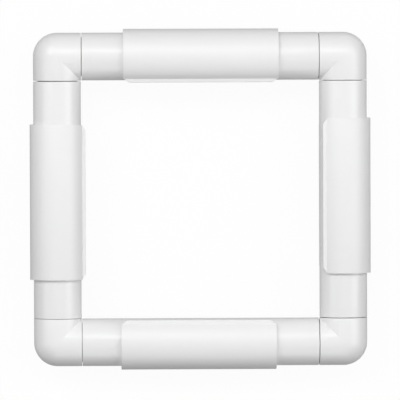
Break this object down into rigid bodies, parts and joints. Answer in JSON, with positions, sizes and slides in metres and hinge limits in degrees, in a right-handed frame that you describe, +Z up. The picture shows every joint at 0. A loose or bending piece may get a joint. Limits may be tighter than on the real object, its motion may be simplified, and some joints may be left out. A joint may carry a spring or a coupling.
{
  "type": "snap frame",
  "caption": "Square needlework frame of white plastic pipe with plug-in corners and C-section clamps that snap over the pipes and hold fabric taut.",
  "frame": {"origin": "middle of the frame, on the surface that its clamps lie on", "axes": "+Z up from the surface, out of the fabric side; +Y towards the side called top; +X towards the side called right"},
  "size_m": [0.2076, 0.2076, 0.0335],
  "materials": {
    "tube": "white extruded plastic pipe, satin gloss",
    "elbow": "white moulded plastic, satin gloss, slightly duller than the pipe",
    "clamp": "white extruded plastic, satin, the dullest of the three"
  },
  "bodies": {
    "elbow_bottom_left": {"elbow_bottom_left": "elbow"},
    "elbow_bottom_right": {"elbow_bottom_right": "elbow"},
    "elbow_top_left": {"elbow_top_left": "elbow"},
    "elbow_top_right": {"elbow_top_right": "elbow"},
    "tube_left": {"tube_left": "tube"},
    "tube_right": {"tube_right": "tube"},
    "tube_top": {"tube_top": "tube"},
    "tube_bottom": {"tube_bottom": "tube"},
    "clamp_left": {"clamp_left": "clamp"},
    "clamp_right": {"clamp_right": "clamp"},
    "clamp_top": {"clamp_top": "clamp"},
    "clamp_bottom": {"clamp_bottom": "clamp"}
  },
  "joints": [
    {"name": "left_lower_plug", "type": "slide", "parent": "elbow_bottom_left", "child": "tube_left", "axis": [0, 1, 0], "range_m": [0, 0.019]},
    {"name": "left_upper_plug", "type": "slide", "parent": "tube_left", "child": "elbow_top_left", "axis": [0, 1, 0], "range_m": [0, 0.019]},
    {"name": "top_left_plug", "type": "slide", "parent": "elbow_top_left", "child": "tube_top", "axis": [1, 0, 0], "range_m": [0, 0.019]},
    {"name": "top_right_plug", "type": "slide", "parent": "tube_top", "child": "elbow_top_right", "axis": [1, 0, 0], "range_m": [0, 0.019]},
    {"name": "bottom_left_plug", "type": "slide", "parent": "elbow_bottom_left", "child": "tube_bottom", "axis": [1, 0, 0], "range_m": [0, 0.019]},
    {"name": "bottom_right_plug", "type": "slide", "parent": "tube_bottom", "child": "elbow_bottom_right", "axis": [1, 0, 0], "range_m": [0, 0.019]},
    {"name": "right_lower_plug", "type": "slide", "parent": "elbow_bottom_right", "child": "tube_right", "axis": [0, 1, 0], "range_m": [0, 0.019]},
    {"name": "left_clamp_roll", "type": "hinge", "parent": "tube_left", "child": "clamp_left", "pos_m": [-0.0871, 0, 0.01673], "axis": [0, -1, 0], "continuous": true},
    {"name": "right_clamp_roll", "type": "hinge", "parent": "tube_right", "child": "clamp_right", "pos_m": [0.0871, 0, 0.01673], "axis": [0, 1, 0], "continuous": true},
    {"name": "top_clamp_roll", "type": "hinge", "parent": "tube_top", "child": "clamp_top", "pos_m": [0, 0.0871, 0.01673], "axis": [-1, 0, 0], "continuous": true},
    {"name": "bottom_clamp_roll", "type": "hinge", "parent": "tube_bottom", "child": "clamp_bottom", "pos_m": [0, -0.0871, 0.01673], "axis": [1, 0, 0], "continuous": true}
  ],
  "couplings": [
    {"joint": "bottom_left_plug", "follows": "top_left_plug", "ratio": 1},
    {"joint": "bottom_right_plug", "follows": "top_right_plug", "ratio": 1},
    {"joint": "right_lower_plug", "follows": "left_lower_plug", "ratio": 1}
  ]
}
